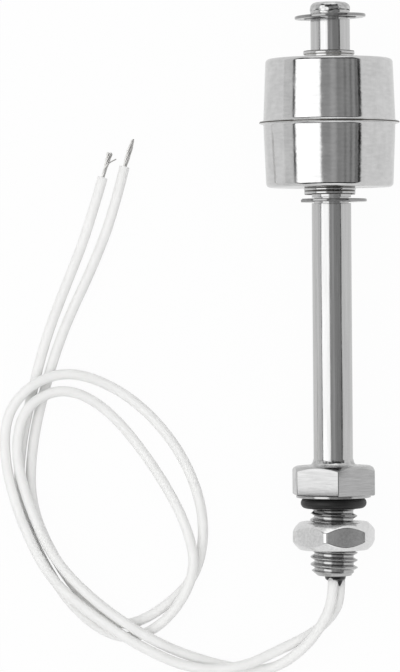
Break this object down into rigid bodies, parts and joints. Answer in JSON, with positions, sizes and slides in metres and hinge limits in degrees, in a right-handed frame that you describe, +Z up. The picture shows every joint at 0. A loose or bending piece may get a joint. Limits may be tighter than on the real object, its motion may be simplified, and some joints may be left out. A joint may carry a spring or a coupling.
{
  "type": "float level switch",
  "caption": "Stainless float level switch: slim stem with a sliding float between retaining clips, hexagon head, threaded shank with seal ring and lock nut, and loose stripped leads.",
  "frame": {"origin": "on the surface that the switch lies on, under the middle of its bounding box, with the leads not counted", "axes": "+Z up, +Y the long way towards the stem's tip (the stem rises 3.6 degrees towards it), +X to the right seen from above with the tip away"},
  "size_m": [0.0824, 0.1367, 0.0283],
  "materials": {
    "polished_stainless": "stainless steel polished to a near mirror",
    "turned_stainless": "stainless steel as turned and drawn, fine satin",
    "spring_stainless": "stamped spring stainless, bright",
    "nitrile_rubber": "black moulded rubber, satin",
    "ferrite": "sintered, dark grey, matte",
    "foamed_spacer": "off-white moulded plastic, matte",
    "reed_glass": "clear pale green glass",
    "reed_metal": "plated nickel iron, bright",
    "solder": "solder, dull bright",
    "wire_insulation": "white insulation, matte",
    "epoxy": "dark cast resin, glossy",
    "silicone": "white silicone rubber, matte",
    "tinned_copper": "tinned copper strands, bright"
  },
  "bodies": {
    "stem": {"stem_tube": "polished_stainless", "tip_plug": "polished_stainless", "hex_adapter": "turned_stainless", "o_ring": "nitrile_rubber", "upper_clip": "spring_stainless", "lower_clip": "spring_stainless", "reed_glass": "reed_glass", "upper_blade": "reed_metal", "lower_blade": "reed_metal", "lower_joint": "solder", "upper_joint": "solder", "inner_lead_a": "wire_insulation", "inner_lead_b": "wire_insulation", "potting_plug": "epoxy", "lead_a": "silicone", "lead_b": "silicone", "strands_a": "tinned_copper", "strands_b": "tinned_copper"},
    "float": {"float_upper_cup": "polished_stainless", "float_lower_cup": "polished_stainless", "float_bore_tube": "polished_stainless", "float_magnet": "ferrite", "lower_spacer": "foamed_spacer", "upper_spacer": "foamed_spacer"},
    "nut": {"lock_nut": "turned_stainless"}
  },
  "joints": [
    {"name": "float_slide", "type": "slide", "parent": "stem", "child": "float", "axis": [0, 0.998, 0.0635], "range_m": [-0.0007, 0.0062]},
    {"name": "nut_travel", "type": "slide", "parent": "stem", "child": "nut", "axis": [0, 0.998, 0.0635], "range_m": [-0.005, 0.0026]}
  ]
}
